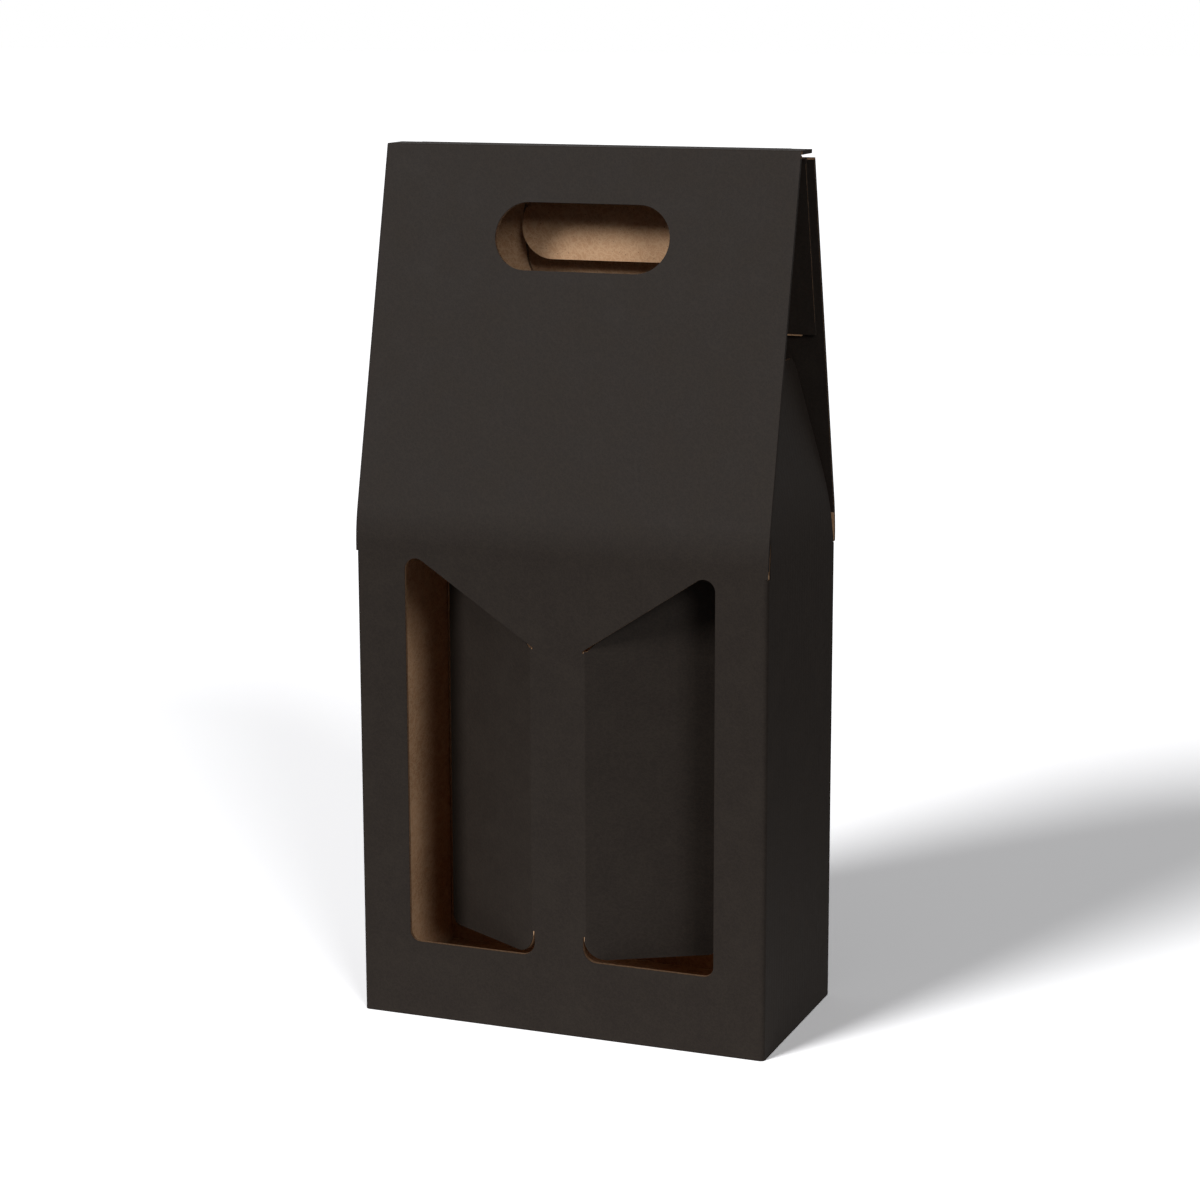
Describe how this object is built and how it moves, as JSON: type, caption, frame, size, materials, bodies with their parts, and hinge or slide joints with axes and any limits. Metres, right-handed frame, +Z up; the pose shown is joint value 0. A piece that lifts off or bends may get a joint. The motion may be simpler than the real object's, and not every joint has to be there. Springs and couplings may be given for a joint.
{
  "type": "bottle gift box",
  "caption": "Tall carton for bottles with a sloped lid, handle hole and lock tab, front windows with inward-folding flaps, side gussets and a locking base.",
  "frame": {"origin": "centre of the footprint, on the floor", "axes": "+X to the right seen from the front, +Y from the windows to the back, +Z up"},
  "size_m": [0.18, 0.09, 0.366],
  "materials": {
    "kraft_board": "uncoated brown kraft with short fibres",
    "black_print": "matt black print on the outer liner"
  },
  "bodies": {
    "root": {"back_panel": "kraft_board", "back_panel_print": "black_print", "base_back_flap": "kraft_board", "base_back_flap_print": "black_print", "base_front_flap": "kraft_board", "base_front_flap_print": "black_print", "base_left_flap": "kraft_board", "base_left_flap_print": "black_print", "base_right_flap": "kraft_board", "base_right_flap_print": "black_print", "front_panel": "kraft_board", "front_panel_print": "black_print", "glue_tab": "kraft_board", "left_panel": "kraft_board", "left_panel_print": "black_print", "right_panel": "kraft_board", "right_panel_print": "black_print"},
    "lid": {"front_slope": "kraft_board", "front_slope_print": "black_print"},
    "ridge": {"ridge_panel": "kraft_board", "ridge_panel_print": "black_print"},
    "tuck": {"tuck_flap": "kraft_board", "tuck_flap_print": "black_print"},
    "back_slope": {"back_slope": "kraft_board", "back_slope_print": "black_print"},
    "lock_tab": {"lock_tab": "kraft_board", "lock_tab_print": "black_print"},
    "left_gusset": {"left_gusset": "kraft_board", "left_gusset_print": "black_print"},
    "right_gusset": {"right_gusset": "kraft_board", "right_gusset_print": "black_print"},
    "left_window_flap": {"left_window_flap": "kraft_board", "left_window_flap_print": "black_print"},
    "right_window_flap": {"right_window_flap": "kraft_board", "right_window_flap_print": "black_print"}
  },
  "joints": [
    {"name": "lid_crease", "type": "hinge", "parent": "root", "child": "lid", "pos_m": [0, -0.0442, 0.203], "axis": [1, 0, 0], "range_deg": [0, 95]},
    {"name": "ridge_front_fold", "type": "hinge", "parent": "lid", "child": "ridge", "pos_m": [0, -0.00737, 0.3652], "axis": [1, 0, 0], "range_deg": [0, 24]},
    {"name": "ridge_back_fold", "type": "hinge", "parent": "ridge", "child": "tuck", "pos_m": [0, 0.00736, 0.3652], "axis": [1, 0, 0], "range_deg": [0, 24]},
    {"name": "back_slope_crease", "type": "hinge", "parent": "root", "child": "back_slope", "pos_m": [0, 0.0442, 0.203], "axis": [-1, 0, 0], "range_deg": [0, 95]},
    {"name": "lock_tab_crease", "type": "hinge", "parent": "back_slope", "child": "lock_tab", "pos_m": [0, 0.01363, 0.3461], "axis": [-1, 0, 0], "range_deg": [-20, 50]},
    {"name": "left_gusset_crease", "type": "hinge", "parent": "root", "child": "left_gusset", "pos_m": [-0.0892, 0, 0.201], "axis": [0, 1, 0], "range_deg": [-100, 70]},
    {"name": "right_gusset_crease", "type": "hinge", "parent": "root", "child": "right_gusset", "pos_m": [0.0892, 0, 0.201], "axis": [0, -1, 0], "range_deg": [-100, 70]},
    {"name": "left_window_crease", "type": "hinge", "parent": "root", "child": "left_window_flap", "pos_m": [-0.0118, -0.0442, 0.11], "axis": [0, 0, -1], "range_deg": [-30, 60]},
    {"name": "right_window_crease", "type": "hinge", "parent": "root", "child": "right_window_flap", "pos_m": [0.0118, -0.0442, 0.11], "axis": [0, 0, 1], "range_deg": [-30, 60]}
  ],
  "couplings": [
    {"joint": "ridge_front_fold", "follows": "lid_crease", "ratio": 0.25},
    {"joint": "ridge_back_fold", "follows": "lid_crease", "ratio": 0.25}
  ]
}
